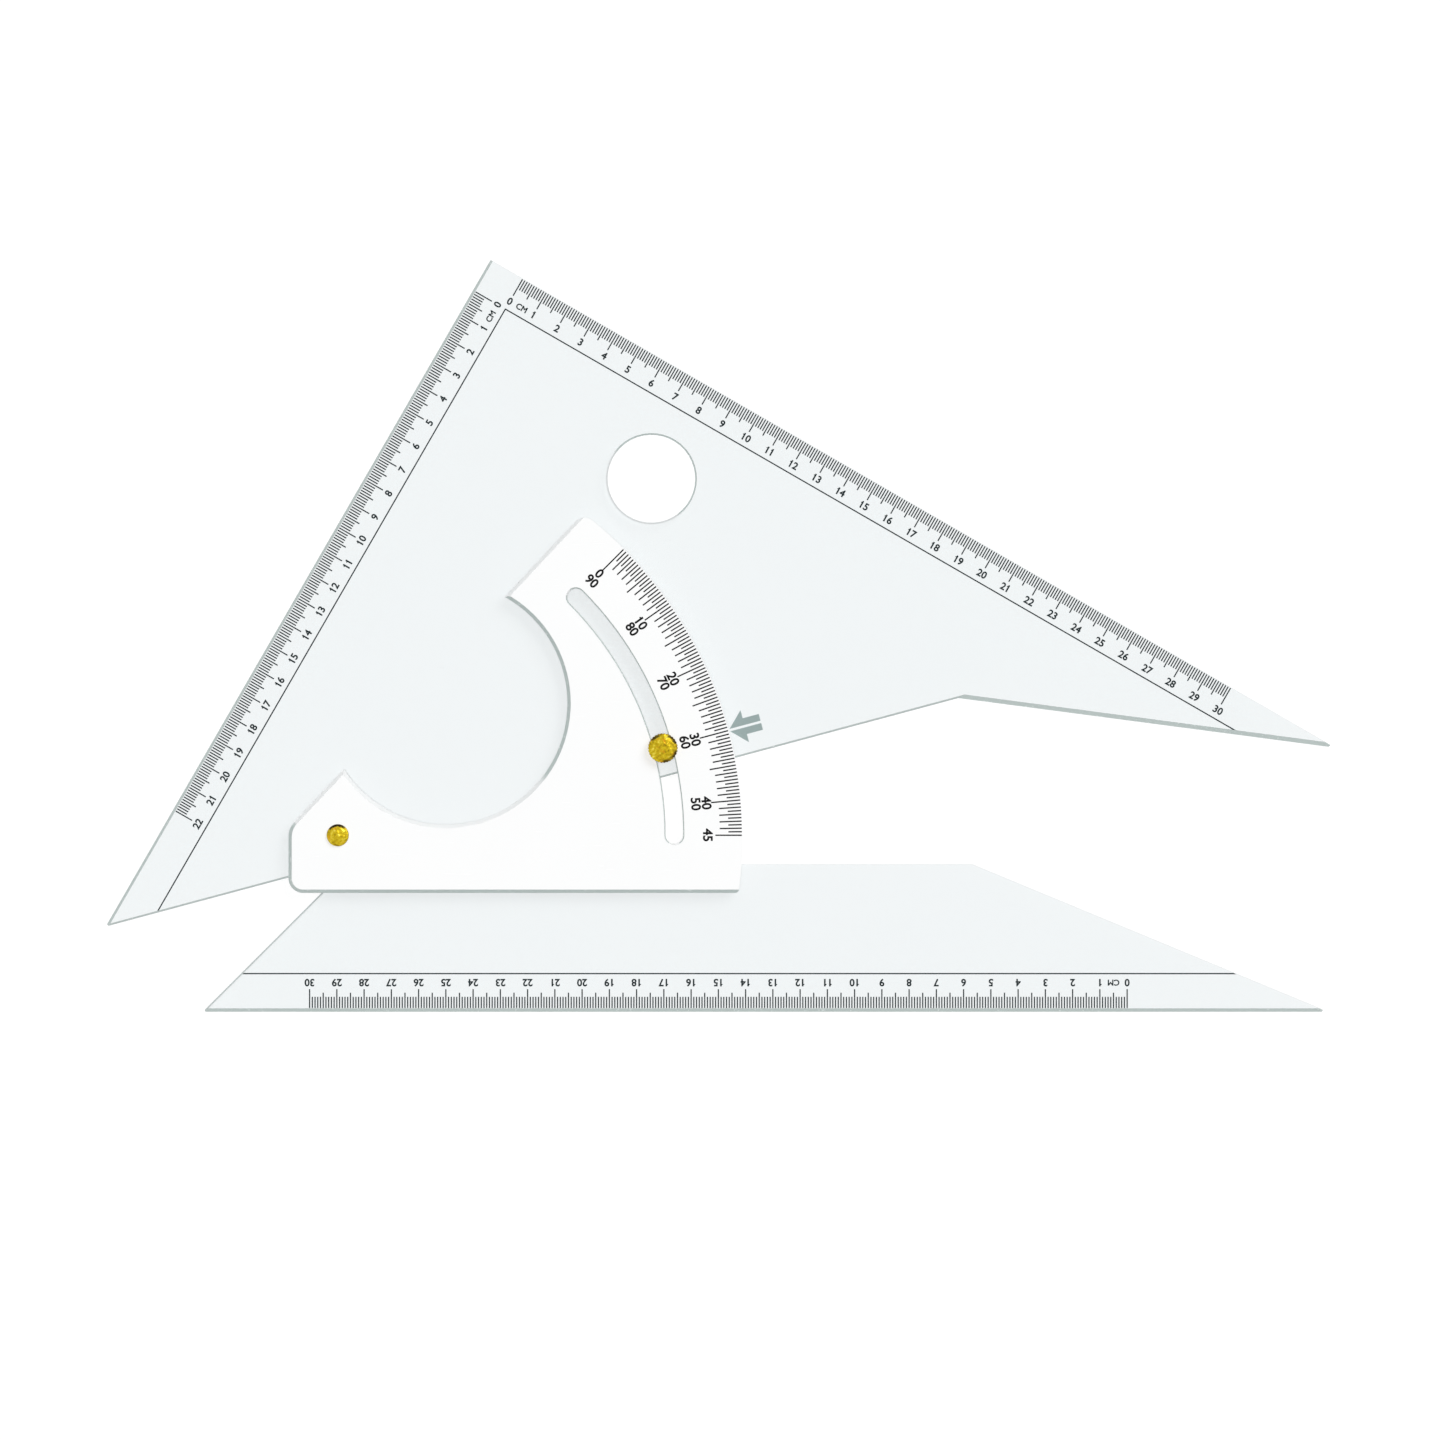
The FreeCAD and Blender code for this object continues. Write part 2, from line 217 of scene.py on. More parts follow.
class Graph:
    """A node tree, built by naming nodes, their settings and what feeds their sockets."""

    def __init__(self, tree):
        self.tree = tree

    def maths(self, operation, first, second=0.0):
        return self.add("ShaderNodeMath", {"operation": operation}, {0: first, 1: second})

    def add(self, kind, settings=None, inputs=None, output=0):
        """A new node's output. Settings come first, then the values or links of its sockets."""
        node = self.tree.nodes.new(kind)
        for name, value in (settings or {}).items():
            if name == "stops":
                self.set_stops(node.color_ramp, value)
            else:
                setattr(node, name, value)
        for name, value in (inputs or {}).items():
            if isinstance(value, Wire):
                self.tree.links.new(value.socket, node.inputs[name])
            else:
                node.inputs[name].default_value = value
        return Wire(self, node.outputs[output]) if node.outputs else None

    def set_stops(self, ramp, stops):
        while len(ramp.elements) < len(stops):
            ramp.elements.new(0.5)
        for element, (place, shade) in zip(ramp.elements, stops):
            element.position = place
            element.color = shade

    def here(self, location=(0, 0, 0), rotation=(0, 0, 0), scale=(1, 1, 1)):
        """The piece's own coordinates, moved, turned and stretched."""
        own = self.add("ShaderNodeTexCoord", {}, {}, "Object")
        return self.add("ShaderNodeMapping", {}, {
            "Vector": own, "Location": location, "Rotation": rotation, "Scale": scale})

    def noise(self, where, scale, detail=3.0, roughness=0.5):
        return self.add("ShaderNodeTexNoise", {}, {
            "Vector": where, "Scale": scale, "Detail": detail, "Roughness": roughness})

    def step(self, value, low, high):
        """0 below low, 1 above high, and a smooth rise between them."""
        return self.add("ShaderNodeMapRange", {"interpolation_type": "SMOOTHSTEP"}, {
            "Value": value, "From Min": low, "From Max": high})

    def blend(self, share, first, second):
        """A blend of two colours."""
        return self.add("ShaderNodeMix", {"data_type": "RGBA"}, {0: share, 6: first, 7: second}, 2)

    def bump(self, height, distance, strength=1.0):
        return self.add("ShaderNodeBump", {}, {
            "Height": height, "Distance": distance, "Strength": strength})

    def dot(self, first, second):
        return self.add("ShaderNodeVectorMath", {"operation": "DOT_PRODUCT"}, {
            0: first, 1: second}, "Value")

    def normal(self):
        return self.add("ShaderNodeNewGeometry", {}, {}, "Normal")

    def uprightness(self):
        """1 on level faces, 0 on upright walls, and between them on bevels."""
        return abs(self.add("ShaderNodeSeparateXYZ", {}, {0: self.normal()}, 2))

    def level(self):
        """1 on level faces and 0 on bevels and walls."""
        return self.step(self.uprightness(), 0.93, 0.99)

    def shaded(self, low, high):
        """1 on bevels that face away from the key light, and 0 on those that it strikes."""
        return self.step(self.dot(self.normal(), -heading(KEY_HEADING)), low, high)

    def round_axis(self, centre):
        """Own coordinates about an upright axis, the level direction away from it and the distance."""
        here = self.here(location=(-centre.x, -centre.y, 0))
        flat = self.add("ShaderNodeVectorMath", {"operation": "MULTIPLY"}, {0: here, 1: (1, 1, 0)})
        away = self.add("ShaderNodeVectorMath", {"operation": "NORMALIZE"}, {0: flat})
        distance = self.add("ShaderNodeVectorMath", {"operation": "LENGTH"}, {0: flat}, "Value")
        return here, away, distance

    def rubs(self, turn, scale):
        """Fine straight rub marks that run one way across a face."""
        stretched = self.here(rotation=(0, 0, math.radians(turn)), scale=(1, 14, 1))
        return self.step(self.noise(stretched, scale, 2.0, 0.7), 0.66, 0.74)


def shade_of(red, green, blue):
    """A colour as it shows on a screen, 0 to 255, turned into the shader's linear one."""
    def linear(value):
        share = value / 255
        return share / 12.92 if share <= 0.04045 else ((share + 0.055) / 1.055) ** 2.4
    return linear(red), linear(green), linear(blue), 1.0


def new_finish(name):
    """An empty material and its graph."""
    material = bpy.data.materials.new(name)
    material.use_nodes = True
    material.node_tree.nodes.clear()
    return material, Graph(material.node_tree)


def finished(material, graph, **inputs):
    """Ends a material in one Principled shader. Socket names have _ for a space."""
    sockets = {name.replace("_", " "): value for name, value in inputs.items()}
    shader = graph.add("ShaderNodeBsdfPrincipled", {}, sockets)
    graph.add("ShaderNodeOutputMaterial", {}, {"Surface": shader})
    return material


def make_clear_acrylic():
    """Clear cast sheet: a faint cool tint on its faces and grey green on its bevels and walls, laid on
    near opaque as painted shade on the bevels that face away from the key light.
    """
    material, graph = new_finish("clear_acrylic")
    level = graph.level()
    bevel = graph.step(graph.uprightness(), 0.32, 0.55)
    here = graph.here()
    rubbed = graph.rubs(24, 90) + graph.rubs(151, 70)
    cloud = graph.noise(here, 18, 4.0, 0.6)
    nicks = graph.step(graph.noise(here, 900, 2.0), 0.62, 0.75)
    glance = graph.add("ShaderNodeFresnel", {}, {"IOR": 1.2})
    face = graph.blend(cloud, shade_of(95, 143, 152), shade_of(107, 152, 161))
    # The grey green is a painted shade colour, with lighter nicks of wear in it.
    edge = graph.blend(nicks, shade_of(177, 191, 188), shade_of(214, 224, 222))
    face_alpha = 0.06 + cloud * 0.008 + rubbed * 0.01 + glance * 0.3
    # Bevels that face away from the key light are made near opaque in the edge colour: painted shade.
    edge_and_painted_shade_alpha = 0.12 + bevel * graph.shaded(-0.15, -0.02) * 0.72 + nicks * 0.06
    skin = graph.noise(here, 260, 2.0)
    return finished(
        material, graph,
        Base_Color=graph.blend(level, edge, face),
        Roughness=0.05 + cloud * 0.06 + rubbed * 0.12 + (1 - level) * 0.16,
        Alpha=edge_and_painted_shade_alpha + level * (face_alpha - edge_and_painted_shade_alpha),
        Normal=graph.bump(skin * 0.4 + rubbed * 0.25 + nicks * (1 - level), 0.00006, 0.5),
        IOR=1.49)


def slot_sides(graph):
    """1 on the slot's bevels, on both sides whichever way they face, where the edges' painted shade is
    laid, and 0 elsewhere.
    """
    _, away, radius = graph.round_axis(pivot)
    apart = abs(radius - (clamp_axis - pivot).xy.length)
    near = 1 - graph.step(apart, SLOT_REACH * MM, (SLOT_REACH + SLOT_FADE) * MM)
    return near * graph.step(abs(graph.dot(graph.normal(), away)), 0.3, 0.45)


def make_white_acrylic():
    """Opal white cast sheet, glossy, with grey green painted shade on the bevels that face away from the
    key light and along the slot's bevels on both sides.
    """
    material, graph = new_finish("white_acrylic")
    level = graph.level()
    here = graph.here()
    rubbed = graph.rubs(37, 80) + graph.rubs(118, 100)
    cloud = graph.noise(here, 22, 4.0, 0.6)
    nicks = graph.step(graph.noise(here, 800, 2.0), 0.6, 0.75)
    face = graph.blend(cloud, shade_of(250, 251, 251), shade_of(254, 254, 254))
    # A grey green painted shade colour, with lighter nicks of wear in it.
    painted_shade_and_nicks = graph.blend(nicks, shade_of(198, 209, 206), shade_of(226, 233, 231))
    # Painted shade on the bevels that face away from the key light and on the slot's bevels.
    shaded = graph.maths("MAXIMUM", graph.shaded(0.04, 0.14), slot_sides(graph))
    edge = graph.blend(shaded, shade_of(250, 251, 251), painted_shade_and_nicks)
    skin = graph.noise(here, 300, 2.0)
    return finished(
        material, graph,
        Base_Color=graph.blend(level, edge, face),
        Roughness=0.12 + cloud * 0.08 + rubbed * 0.16 + (1 - level) * 0.2,
        Normal=graph.bump(skin * 0.3 + rubbed * 0.2 + nicks * (1 - level), 0.00006, 0.5),
        IOR=1.49)


def make_adhesive_film():
    """The clear bond between quadrant and base, with small bubbles caught in it."""
    material, graph = new_finish("adhesive_film")
    here = graph.here()
    bubbles = graph.step(graph.noise(here, 420, 2.0), 0.62, 0.7)
    return finished(
        material, graph,
        Base_Color=graph.blend(bubbles, shade_of(226, 232, 230), shade_of(244, 247, 247)),
        Roughness=0.25 + graph.noise(here, 60) * 0.2,
        Alpha=0.55 + bubbles * 0.25,
        Normal=graph.bump(bubbles, 0.00005, 0.4))


def make_beaten_brass(name, centre, radius, dark_reflection_turns):
    """Polished brass with a hammered crown. The turns given are the headings round the crown's rim at
    which dark reflections are painted, and its outermost edge is painted darker too."""
    material, graph = new_finish(name)
    here, away, distance = graph.round_axis(centre)
    outward = distance / radius
    patch = graph.noise(here, 420, 3.0, 0.55)
    grain = graph.noise(here, 1100, 3.0, 0.65)
    # Dark reflections painted round the rim at the given headings.
    dark_reflections = 0.0
    for turn in dark_reflection_turns:
        dark_reflections = dark_reflections + graph.step(graph.dot(away, heading(turn)) + (patch - 0.5) * 0.3, 0.88, 0.99)
    rim = graph.step(outward + (grain - 0.5) * 0.3, 0.74, 0.86)
    crown = graph.step(graph.uprightness(), 0.2, 0.6)
    # The outermost edge is painted darker.
    edge = graph.step(outward, 0.93, 1.0) * 0.35
    painted_dark_rim = graph.maths("MINIMUM", dark_reflections * rim * crown * 0.92 + edge, 1.0)
    # Brass mottled at random from dark to pale. The pale spots stand in for hammer facets catching the
    # light, as a painted highlight.
    gold_and_painted_glints = graph.add("ShaderNodeValToRGB", {"stops": (
        (0.36, shade_of(132, 104, 4)),
        (0.45, shade_of(186, 158, 10)),
        (0.54, shade_of(208, 182, 22)),
        (0.66, shade_of(246, 230, 98)),
    )}, {"Fac": patch * 0.45 + grain * 0.55})
    warmth = graph.step(graph.noise(here, 500, 2.0), 0.56, 0.68)
    warm = graph.blend(warmth * 0.6, gold_and_painted_glints, shade_of(212, 140, 20))
    return finished(
        material, graph,
        Base_Color=graph.blend(painted_dark_rim, warm, shade_of(38, 26, 4)),
        Roughness=0.24 + grain * 0.2 + painted_dark_rim * 0.25,
        Metallic=0.75,
        Normal=graph.bump(grain, 0.00003, 0.5))


def make_turned_brass():
    """Brass as it leaves the lathe, for the post, bush, bolt and washers."""
    material, graph = new_finish("turned_brass")
    cloud = graph.noise(graph.here(), 200)
    rings = graph.noise(graph.here(scale=(1, 1, 12)), 900, 2.0)
    return finished(
        material, graph,
        Base_Color=graph.blend(cloud, shade_of(176, 138, 42), shade_of(224, 190, 90)),
        Roughness=0.22 + rings * 0.2,
        Metallic=1.0,
        Normal=graph.bump(rings, 0.00003, 0.4))


def make_nylon():
    """Natural nylon: milky and slightly waxy."""
    material, graph = new_finish("nylon")
    cloud = graph.noise(graph.here(), 300)
    return finished(
        material, graph,
        Base_Color=graph.blend(cloud, shade_of(232, 230, 222), shade_of(246, 245, 240)),
        Roughness=0.4 + cloud * 0.15,
        Normal=graph.bump(cloud, 0.00003, 0.4))


def make_ink(name, dense, thin):
    """Screen ink: a dense film with small spots of lighter density."""
    material, graph = new_finish(name)
    density = graph.noise(graph.here(), 1400, 3.0, 0.6)
    return finished(
        material, graph,
        Base_Color=graph.blend(graph.step(density, 0.6, 0.8), dense, thin),
        Roughness=0.42 + density * 0.2,
        Specular_IOR_Level=0.15,
        Normal=graph.bump(density, 0.00001, 0.5))


def seat(origin, right, up):
    """The matrix that carries X to right, Y to up and the origin to a place."""
    turn = Matrix((right, up, right.cross(up))).transposed()
    return Matrix.Translation(origin) @ turn.to_4x4()


def shift(x, y):
    """A move in a face's own plane, in millimetres."""
    return Matrix.Translation((x * MM, y * MM, 0))


def on_face(node, place):
    """A place brought to the level of a plate's upper face."""
    return Vector((place.x, place.y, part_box(node)[1].z))


def under_face(node, place):
    """A place brought to where ink lies on a blade's underside."""
    return Vector((place.x, place.y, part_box(node)[0].z + 2 * INK_KEY * MM))


def walls(node):
    """A CAD node as something that a ray can be cast in."""
    mesh = frame["nodes"][node].data
    corners = [vertex.co for vertex in mesh.vertices]
    return BVHTree.FromPolygons(corners, [list(face.vertices) for face in mesh.polygons])


def face_end(node, start, direction):
    """Where a line on a plate's face, drawn from start, meets the edge of that face."""
    dip = Vector((0, 0, SEARCH_DIP * MM))
    return walls(node).ray_cast(start - dip, direction)[0] + dip


def face_distance(node, outward, aside):
    """How far from the pivot, along outward, the edge of a plate's face lies. Aside is the direction
    in which the search is moved away from the pivot."""
    vertices = frame["nodes"][node].data.vertices
    reach = max((vertex.co - pivot).dot(outward) for vertex in vertices)
    start = on_face(node, pivot + outward * (reach - SEARCH_INSIDE * MM) + aside * SEARCH_ASIDE * MM)
    return (face_end(node, start, outward) - pivot).dot(outward)


def closed(sheet, name):
    """A bmesh as a mesh, with doubles merged and faces turned outwards."""
    bmesh.ops.remove_doubles(sheet, verts=sheet.verts, dist=MERGE_DISTANCE * MM)
    bmesh.ops.recalc_face_normals(sheet, faces=sheet.faces)
    mesh = bpy.data.meshes.new(name)
    sheet.to_mesh(mesh)
    sheet.free()
    return mesh


def joined(meshes, name):
    """Several meshes as one."""
    sheet = bmesh.new()
    for mesh in meshes:
        sheet.from_mesh(mesh)
        bpy.data.meshes.remove(mesh)
    return closed(sheet, name)


def slab(corners, name):
    """Ink laid on an outline whose corners lie on a face."""
    sheet = bmesh.new()
    low = [sheet.verts.new(corner - Vector((0, 0, INK_KEY * MM))) for corner in corners]
    high = [sheet.verts.new(corner + Vector((0, 0, INK_HEIGHT * MM))) for corner in corners]
    sheet.faces.new(high)
    sheet.faces.new(low[::-1])
    for place in range(len(corners)):
        after = (place + 1) % len(corners)
        sheet.faces.new((low[place], low[after], high[after], high[place]))
    return closed(sheet, name)


def put(mesh, material, body):
    """A finished mesh as a piece, named as its mesh, that rides on a body."""
    mesh.materials.clear()
    mesh.materials.append(material)
    piece = bpy.data.objects.new(mesh.name, mesh)
    bpy.context.scene.collection.objects.link(piece)
    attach(piece, body)
    return piece


def evaluated_mesh(holder):
    """The mesh that an object shows, after which the object is removed."""
    bpy.context.scene.collection.objects.link(holder)
    depsgraph = bpy.context.evaluated_depsgraph_get()
    mesh = bpy.data.meshes.new_from_object(holder.evaluated_get(depsgraph))
    holder.modifiers.clear()
    bpy.data.objects.remove(holder)
    return mesh


def tick_tree(curved):
    """A node tree that lays ticks along a line or round an arc, longer ones at their periods."""
    tree = bpy.data.node_groups.new("ticks", "GeometryNodeTree")
    sockets = tree.interface
    sockets.new_socket("Ticks", in_out="OUTPUT", socket_type="NodeSocketGeometry")
    for name in ("Count", "Second Period", "Third Period", "Fourth Period"):
        sockets.new_socket(name, in_out="INPUT", socket_type="NodeSocketInt")
    for name in ("Step", "Radius", "Width", "Height", "Key", "Length", "Second", "Third", "Fourth"):
        sockets.new_socket(name, in_out="INPUT", socket_type="NodeSocketFloat")
    sockets.new_socket("Ink", in_out="INPUT", socket_type="NodeSocketMaterial")
    graph = Graph(tree)
    source = tree.nodes.new("NodeGroupInput")
    given = {socket.name: Wire(graph, socket) for socket in source.outputs}
    index = graph.add("GeometryNodeInputIndex")
    length = given["Length"]
    for name in ("Second", "Third", "Fourth"):
        due = index % given[name + " Period"] < 0.5
        length = length + due * (given[name] - length)
    travel = index * given["Step"]
    middle = given["Radius"] - length / 2
    across = travel.sine() * middle if curved else travel
    up = travel.cosine() * middle if curved else middle
    thickness = given["Height"] + given["Key"]
    lift = thickness / 2 - given["Key"]
    line = graph.add("GeometryNodeMeshLine", {}, {"Count": given["Count"]})
    points = graph.add("GeometryNodeSetPosition", {}, {
        "Geometry": line,
        "Position": graph.add("ShaderNodeCombineXYZ", {}, {0: across, 1: up, 2: lift})})
    copies = graph.add("GeometryNodeInstanceOnPoints", {}, {
        "Points": points,
        "Instance": graph.add("GeometryNodeMeshCube", {}, {"Size": (1, 1, 1)}),
        "Rotation": graph.add("ShaderNodeCombineXYZ", {}, {2: -travel if curved else 0.0}),
        "Scale": graph.add("ShaderNodeCombineXYZ", {}, {0: given["Width"], 1: length, 2: thickness})})
    solid = graph.add("GeometryNodeRealizeInstances", {}, {0: copies})
    inked = graph.add("GeometryNodeSetMaterial", {}, {"Geometry": solid, "Material": given["Ink"]})
    graph.add("NodeGroupOutput", {}, {0: inked})
    return tree


def ticks(tree, place, name, values):
    """Ticks from a tree and the values of its named inputs, as a mesh at a place."""
    holder = bpy.data.objects.new("ticks", bpy.data.meshes.new("ticks"))
    modifier = holder.modifiers.new("ticks", "NODES")
    modifier.node_group = tree
    values = {**values, "Height": INK_HEIGHT * MM, "Key": INK_KEY * MM, "Ink": black_ink}
    for socket in tree.interface.items_tree:
        if socket.in_out == "INPUT":
            modifier[socket.identifier] = values[socket.name]
    mesh = evaluated_mesh(holder)
    mesh.name = name
    mesh.transform(place)
    return mesh


def lettering(words, height):
    """Figures as a thin closed solid, centred on the origin."""
    size = height / DIGIT_SHARE
    gain = height * STROKE_GAIN
    curve = bpy.data.curves.new("figures", "FONT")
    curve.body = words
    curve.align_x = "CENTER"
    curve.size = size
    curve.bevel_depth = gain
    curve.bevel_resolution = 0
    curve.resolution_u = 4
    mesh = evaluated_mesh(bpy.data.objects.new("figures", curve))
    mesh.transform(Matrix.Scale((INK_HEIGHT + INK_KEY) * MM / (2 * gain), 4, (0, 0, 1)))
    lift = (INK_HEIGHT - INK_KEY) * MM / 2
    for place, letter in enumerate(words):
        if letter == "1":
            start = (place - len(words) / 2) * DIGIT_ADVANCE
            flag = slab([Vector(((start + x) * size, y * size, 0)) for x, y in FLAG[::-1]], "flag")
            mesh = joined([mesh, flag], "figures")
    mesh.transform(Matrix.Translation((0, -height / 2, lift)))
    return mesh


def figures(labels, name):
    """Labels as one mesh. A label is its words, its height and the matrix of its place."""
    meshes = []
    for words, height, place in labels:
        mesh = lettering(words, height)
        mesh.transform(place)
        meshes.append(mesh)
    return joined(meshes, name)


def ruler(name, body, place, sense, last):
    """Ticks, figures and unit mark of one ruler. Place puts its zero on the edge of the face,
    and sense is 1 where the numbers grow to the right and -1 where they grow to the left."""
    put(ticks(straight_ticks, place, name + "_ticks", {
        "Count": last * 10 + 1, "Step": sense * RULE_PITCH * MM, "Radius": 0.0,
        "Width": RULE_TICK_WIDTH * MM, "Length": RULE_TICK * MM,
        "Second": RULE_HALF_TICK * MM, "Second Period": 5,
        "Third": RULE_CM_TICK * MM, "Third Period": 10,
        "Fourth": RULE_CM_TICK * MM, "Fourth Period": 10}), black_ink, body)
    labels = [
        (str(number), FIGURE_HEIGHT * MM, place @ shift(sense * number * 10 * RULE_PITCH, -FIGURE_LINE))
        for number in range(last + 1)
    ]
    unit = place @ shift(sense * UNIT_PLACE, -FIGURE_LINE)
    labels.append((UNIT_MARK, UNIT_HEIGHT * MM, unit))
    put(figures(labels, name + "_figures"), black_ink, body)


def make_triangle_rulers():
    """The rulers on both legs of the triangle, and the line that borders them."""
    node = "triangle_blade"
    long_out = heading(LONG_LEG_SHUT + rest_opening)
    short_out = heading(SHORT_LEG_SHUT + rest_opening)
    long_edge = face_distance(node, long_out, -short_out)
    short_edge = face_distance(node, short_out, long_out)
    depth = BORDER_LINE * MM
    corner = on_face(node, pivot + long_out * (long_edge - depth) + short_out * (short_edge - depth))
    half = (long_out + short_out) * BORDER_WIDTH * MM / 2
    outer, inner = corner + half, corner - half
    corners = [
        outer, face_end(node, outer, -long_out), face_end(node, inner, -long_out),
        inner, face_end(node, inner, -short_out), face_end(node, outer, -short_out),
    ]
    put(slab([under_face(node, place) for place in corners], "triangle_border"), black_ink, "triangle")
    zero = under_face(node, corner)
    ruler("long_leg", "triangle", seat(zero + long_out * depth, -short_out, long_out), 1, LONG_LEG_CM)
    ruler("short_leg", "triangle", seat(zero + short_out * depth, long_out, short_out), -1, SHORT_LEG_CM)


def make_base_ruler():
    """The ruler along the base's lower edge, and the line that borders it."""
    node = "base_blade"
    down, right = heading(-90), heading(0)
    edge = face_distance(node, down, right)
    zero = on_face(node, pivot + right * BASE_ZERO_FROM_PIVOT * MM + down * edge)
    ruler("base", "base", seat(under_face(node, zero), -right, down), 1, BASE_CM)
    half = down * BORDER_WIDTH * MM / 2
    line = zero - down * BORDER_LINE * MM
    lower, upper = line + half, line - half
    corners = [
        face_end(node, lower, -right), face_end(node, lower, right),
        face_end(node, upper, right), face_end(node, upper, -right),
    ]
    put(slab([under_face(node, place) for place in corners], "base_border"), black_ink, "base")


def make_angle_scale():
    """Degree ticks round the quadrant, with figures that read both ways."""
    zero = on_face("quadrant_plate", pivot)
    put(ticks(curved_ticks, seat(zero, heading(full_opening - 90), heading(full_opening)), "scale_ticks", {
        "Count": round(full_opening * SCALE_STEPS_PER_DEGREE) + 1,
        "Step": math.radians(1 / SCALE_STEPS_PER_DEGREE), "Radius": SCALE_RADIUS * MM,
        "Width": SCALE_TICK_WIDTH * MM, "Length": SCALE_HALF_TICK * MM,
        "Second": SCALE_TICK * MM, "Second Period": SCALE_STEPS_PER_DEGREE,
        "Third": SCALE_FIVE_TICK * MM, "Third Period": 5 * SCALE_STEPS_PER_DEGREE,
        "Fourth": SCALE_TEN_TICK * MM, "Fourth Period": 10 * SCALE_STEPS_PER_DEGREE}), black_ink, "base")
    labels = []
    for reading in [*range(0, round(full_opening), 10), round(full_opening)]:
        up = heading(full_opening - reading)
        place = seat(zero, heading(full_opening - reading - 90), up)
        labels.append((str(reading), SCALE_FIGURE_HEIGHT * MM, place @ shift(0, OUTER_ROW)))
        if reading < full_opening:
            labels.append((str(90 - reading), SCALE_FIGURE_HEIGHT * MM, place @ shift(0, INNER_ROW)))
    put(figures(labels, "scale_figures"), black_ink, "base")


def make_pointer():
    """The pointer on the triangle, in two halves either side of its reading line."""
    zero = under_face("triangle_blade", pivot)
    place = seat(zero, heading(rest_opening), heading(rest_opening + 90))
    start = POINTER_TIP + POINTER_HEAD * POINTER_HALF_SPLIT / POINTER_HALF_HEAD
    back, head = POINTER_TIP + POINTER_LENGTH, POINTER_TIP + POINTER_HEAD
    outline = [
        (start, POINTER_HALF_SPLIT), (back, POINTER_HALF_SPLIT), (back, POINTER_HALF_SHAFT),
        (head, POINTER_HALF_SHAFT), (head, POINTER_HALF_HEAD),
    ]
    halves = []
    for side in (1, -1):
        corners = [place @ Vector((x * MM, side * y * MM, 0)) for x, y in outline]
        halves.append(slab(corners[::side], "pointer_half"))
    put(joined(halves, "pointer"), grey_ink, "triangle")


def dented(point, centre):
    """A point of a crown, let in where a hammer has struck near it."""
    nearest = noise.voronoi((point - centre) / (DENT_SIZE * MM))[0]
    strike = max(0.0, 1 - (nearest[0] / DENT_REACH) ** 2)
    return point - Vector((0, 0, DENT_DEPTH * MM * strike))


def crown_profile(radius, low, rim, top):
    """Radii and levels from the foot of a crown's rim over its eased shoulder to its centre."""
    ease = CROWN_EASE * MM
    profile = [(radius, low), (radius, low + rim - ease)]
    sphere = (radius ** 2 + (top - low - rim) ** 2) / (2 * (top - low - rim))
    for ring in range(CROWN_RINGS + 1):
        out = radius * CROWN_SHARE * (1 - ring / CROWN_RINGS)
        profile.append((out, top - sphere + math.sqrt(sphere ** 2 - out ** 2)))
    return profile


def spun(profile, centre, flutes, name):
    """A closed solid of revolution with a beaten crown. Flutes is their number round its wall."""
    sheet = bmesh.new()
    widest = max(out for out, level in profile)
    crown_foot = profile[-CROWN_RINGS][1]
    rings = []
    for out, level in profile:
        ring = []
        for segment in range(CROWN_SEGMENTS):
            turn = 2 * math.pi * segment / CROWN_SEGMENTS
            wave = (1 - math.cos(flutes * turn)) / 2 * KNOB_FLUTE_DEPTH * MM if flutes else 0.0
            reach = out - wave * max(0.0, (out / widest - FLUTE_SHARE) / (1 - FLUTE_SHARE))
            point = Vector((centre.x + reach * math.cos(turn), centre.y + reach * math.sin(turn), level))
            if level > crown_foot and out < widest * BEATEN_SHARE:
                point = dented(point, centre)
            ring.append(sheet.verts.new(point))
        rings.append(ring)
    for first, second in zip(rings, rings[1:]):
        for segment in range(CROWN_SEGMENTS):
            after = (segment + 1) % CROWN_SEGMENTS
            sheet.faces.new((first[segment], first[after], second[after], second[segment]))
    mesh = closed(sheet, name)
    mesh.shade_smooth()
    return mesh


def make_clamp_knob():
    """The round brass nut that clamps the triangle to the slot."""
    low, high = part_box("clamp_knob")
    radius = (high.x - low.x) / 2
    bore = KNOB_BORE_RADIUS * MM
    roof = low.z + KNOB_BORE_DEPTH * MM
    profile = [(0, roof), (bore, roof), (bore, low.z)]
    profile += crown_profile(radius, low.z, KNOB_RIM * MM, high.z)
    brass = make_beaten_brass("beaten_brass_knob", clamp_axis, radius, KNOB_DARK_REFLECTION_TURNS)
    knob = put(spun(profile, clamp_axis, KNOB_FLUTES, "beaten_clamp_knob"), brass, "clamp_knob")
    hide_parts("clamp_knob")


def make_pivot_screw():
    """The domed brass screw on the pivot."""
    low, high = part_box("pivot_screw")
    radius = (high.x - low.x) / 2
    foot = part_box("pivot_washer")[1].z
    shank = SCREW_SHANK_RADIUS * MM
    profile = [(0, low.z), (shank, low.z), (shank, foot)]
    profile += crown_profile(radius, foot, SCREW_RIM * MM, high.z)
    brass = make_beaten_brass("beaten_brass_screw", pivot, radius, SCREW_DARK_REFLECTION_TURNS)
    screw = put(spun(profile, pivot, 0, "beaten_pivot_screw"), brass, "base")
    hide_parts("pivot_screw")


def dress_nodes():
    """Gives every CAD node that shows its finish."""
    finishes = {
        make_clear_acrylic(): ["base_blade", "triangle_blade"],
        make_white_acrylic(): ["quadrant_plate"],
        make_adhesive_film(): ["bonding_film"],
        make_turned_brass(): ["pivot_post", "pivot_washer", "pivot_bush", "clamp_bolt", "clamp_washer"],
        make_nylon(): ["pivot_slip_washer", "clamp_slip_washer", "slot_bush"],
    }
    for material, names in finishes.items():
        for name in names:
            node = frame["nodes"][name]
            node.data.materials.clear()
            node.data.materials.append(material)


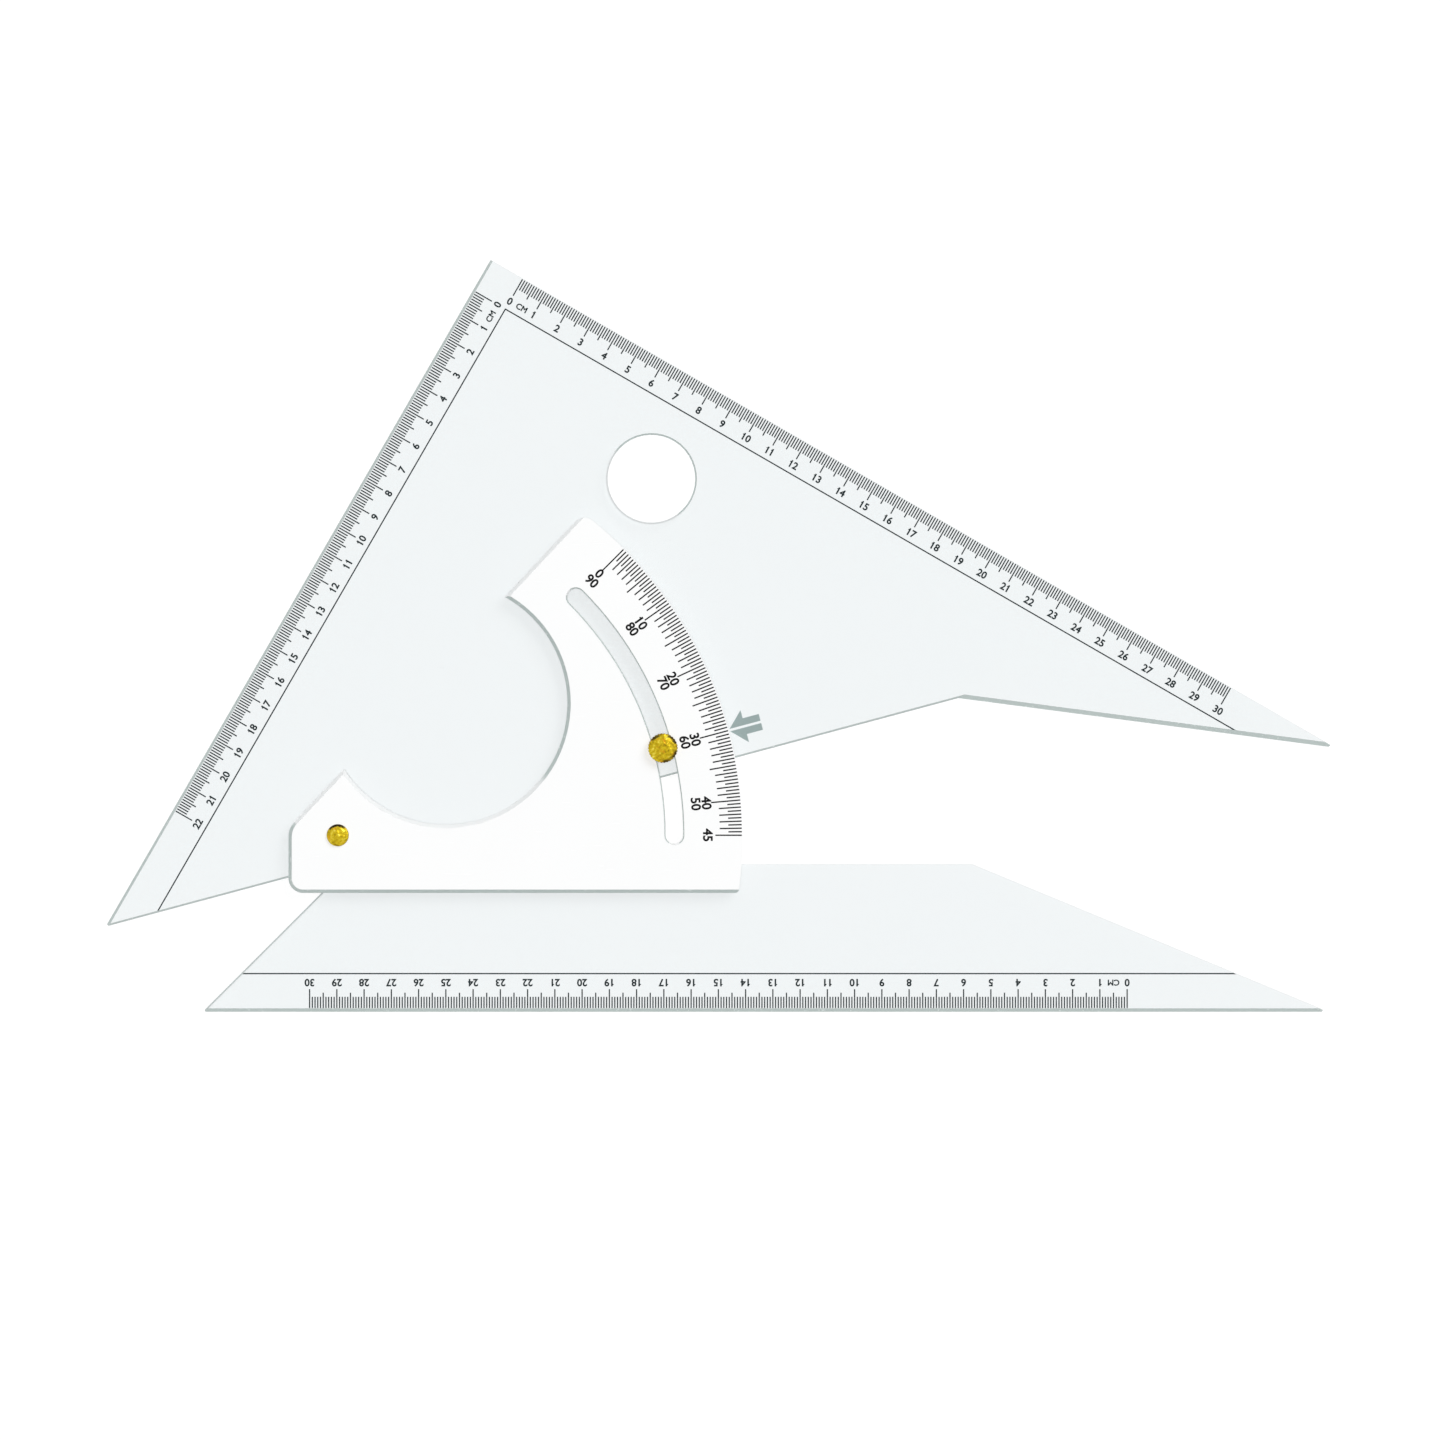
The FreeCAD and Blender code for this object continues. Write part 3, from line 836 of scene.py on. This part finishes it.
def make_camera():
    """A long lens straight above the square."""
    lens = bpy.data.cameras.new("camera")
    lens.sensor_width = SENSOR
    lens.lens = SENSOR * VIEW_DISTANCE / VIEW_WIDTH
    lens.clip_end = 50.0
    camera = bpy.data.objects.new("camera", lens)
    camera.location = (*VIEW_CENTRE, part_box("triangle_blade")[1].z + VIEW_DISTANCE)
    bpy.context.scene.collection.objects.link(camera)
    bpy.context.scene.camera = camera


def seen_ray(graph):
    """1 for rays from the camera, from gloss and through glass, and 0 for the rest."""
    paths = graph.tree.nodes.new("ShaderNodeLightPath").outputs
    camera, glossy, through = (
        Wire(graph, paths[name]) for name in ("Is Camera Ray", "Is Glossy Ray", "Is Transmission Ray"))
    return graph.maths("MAXIMUM", graph.maths("MAXIMUM", camera, glossy), through)


def make_floor():
    """A plain white floor that keeps its shadows, and shows as open from beneath."""
    material, graph = new_finish("floor")
    seen = seen_ray(graph)
    surface = graph.add("ShaderNodeBsdfPrincipled", {}, {
        "Base Color": graph.blend(seen, shade_of(243, 243, 243), shade_of(203, 203, 203)),
        "Roughness": 0.9, "Specular IOR Level": 0.0,
        "Emission Color": graph.blend(seen, (0, 0, 0, 1), (FLOOR_GLOW, FLOOR_GLOW, FLOOR_GLOW, 1)),
        "Emission Strength": 1.0})
    open_side = graph.add("ShaderNodeNewGeometry", {}, {}, "Backfacing") * seen
    clear = graph.add("ShaderNodeBsdfTransparent")
    both = graph.add("ShaderNodeMixShader", {}, {0: open_side, 1: surface, 2: clear})
    graph.add("ShaderNodeOutputMaterial", {}, {"Surface": both})
    sheet = bmesh.new()
    bmesh.ops.create_grid(sheet, x_segments=1, y_segments=1, size=FLOOR_HALF)
    mesh = bpy.data.meshes.new("floor")
    sheet.to_mesh(mesh)
    sheet.free()
    mesh.materials.append(material)
    floor = bpy.data.objects.new("floor", mesh)
    floor.location.z = -FLOOR_GAP
    bpy.context.scene.collection.objects.link(floor)


def make_lamp(name, heading_from, rise, softness, share):
    """A soft distant lamp that gives a level white surface its share of full brightness."""
    lamp = bpy.data.lights.new(name, "SUN")
    lamp.angle = math.radians(softness)
    lamp.energy = share * math.pi / math.sin(math.radians(rise))
    holder = bpy.data.objects.new(name, lamp)
    level = math.cos(math.radians(rise))
    toward = heading(heading_from) * level + Vector((0, 0, math.sin(math.radians(rise))))
    holder.rotation_euler = toward.to_track_quat("Z", "Y").to_euler()
    bpy.context.scene.collection.objects.link(holder)
    return holder


def make_light():
    """An even pale sky, a broad overhead light with no glare, and a soft key from the upper right."""
    world = bpy.data.worlds.new("studio")
    world.use_nodes = True
    world.node_tree.nodes.clear()
    graph = Graph(world.node_tree)
    strength = SKY_SHARE + seen_ray(graph) * (1 - SKY_SHARE)
    sky = graph.add("ShaderNodeBackground", {}, {"Color": (1, 1, 1, 1), "Strength": strength})
    graph.add("ShaderNodeOutputWorld", {}, {"Surface": sky})
    bpy.context.scene.world = world
    overhead = make_lamp("overhead", OVERHEAD_HEADING, OVERHEAD_RISE, OVERHEAD_SOFTNESS, OVERHEAD_SHARE)
    overhead.visible_glossy = False
    make_lamp("key", KEY_HEADING, KEY_RISE, KEY_SOFTNESS, KEY_SHARE)


make_camera()
make_light()
make_floor()
black_ink = make_ink("black_ink", shade_of(6, 6, 7), shade_of(30, 30, 32))
grey_ink = make_ink("grey_ink", shade_of(160, 174, 172), shade_of(172, 185, 183))
straight_ticks = tick_tree(curved=False)
curved_ticks = tick_tree(curved=True)
dress_nodes()
make_triangle_rulers()
make_base_ruler()
make_angle_scale()
make_pointer()
make_clamp_knob()
make_pivot_screw()

bpy.context.scene.view_settings.view_transform = "Standard"
bpy.context.view_layer.update()
